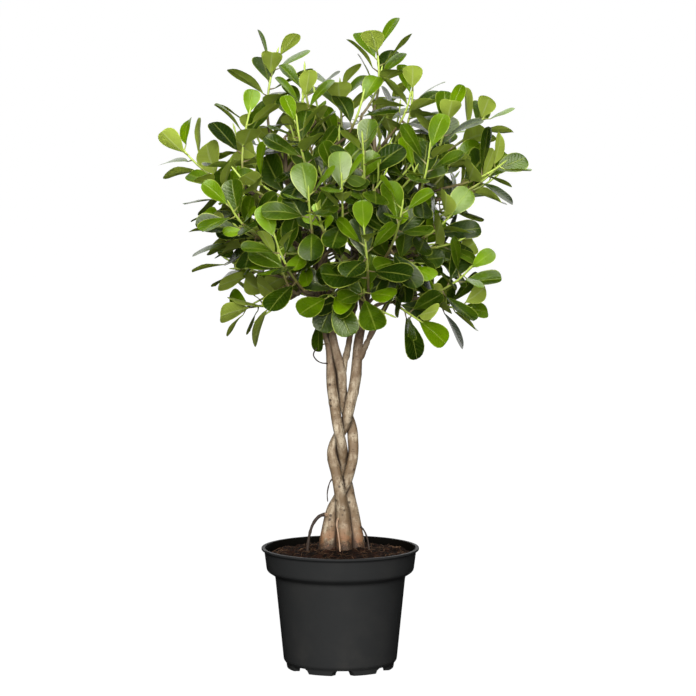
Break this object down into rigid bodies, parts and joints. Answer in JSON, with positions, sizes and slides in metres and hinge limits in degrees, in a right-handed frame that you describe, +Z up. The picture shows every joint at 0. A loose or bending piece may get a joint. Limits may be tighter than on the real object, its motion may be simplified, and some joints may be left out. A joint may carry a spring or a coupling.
{
  "type": "potted fig tree",
  "caption": "Small fig standard: three braided stems with a rounded crown of glossy leafy shoots, standing in a stepped round nursery pot.",
  "frame": {"origin": "middle of the pot's underside, on the surface it stands on", "axes": "+Z up along the pot's axis, -Y towards the front of the plant, +X to its right"},
  "size_m": [0.4444, 0.4154, 0.782],
  "materials": {
    "pot_plastic": "satin black moulded plastic",
    "soil": "dark fibrous peat",
    "bark": "smooth grey-tan bark, redder at the foot",
    "leaf": "glossy leathery green leaf"
  },
  "bodies": {
    "root": {"pot": "pot_plastic", "soil": "soil", "stem_left": "bark", "stem_middle": "bark", "stem_right": "bark", "shoot_01": "leaf", "shoot_02": "leaf", "shoot_03": "leaf", "shoot_04": "leaf", "shoot_05": "leaf", "shoot_06": "leaf", "shoot_07": "leaf", "shoot_08": "leaf", "shoot_09": "leaf", "shoot_10": "leaf", "shoot_11": "leaf", "shoot_12": "leaf", "shoot_13": "leaf", "shoot_14": "leaf", "shoot_15": "leaf", "shoot_16": "leaf", "shoot_17": "leaf", "shoot_18": "leaf", "shoot_19": "leaf", "shoot_20": "leaf", "shoot_21": "leaf", "shoot_22": "leaf", "shoot_23": "leaf", "shoot_24": "leaf", "shoot_25": "leaf", "shoot_26": "leaf", "shoot_27": "leaf", "shoot_28": "leaf", "shoot_29": "leaf", "shoot_30": "leaf", "shoot_31": "leaf", "shoot_32": "leaf", "shoot_33": "leaf", "shoot_34": "leaf", "shoot_35": "leaf", "shoot_36": "leaf", "shoot_37": "leaf", "shoot_38": "leaf", "shoot_39": "leaf", "shoot_40": "leaf", "shoot_41": "leaf", "shoot_42": "leaf", "shoot_43": "leaf"}
  },
  "joints": []
}
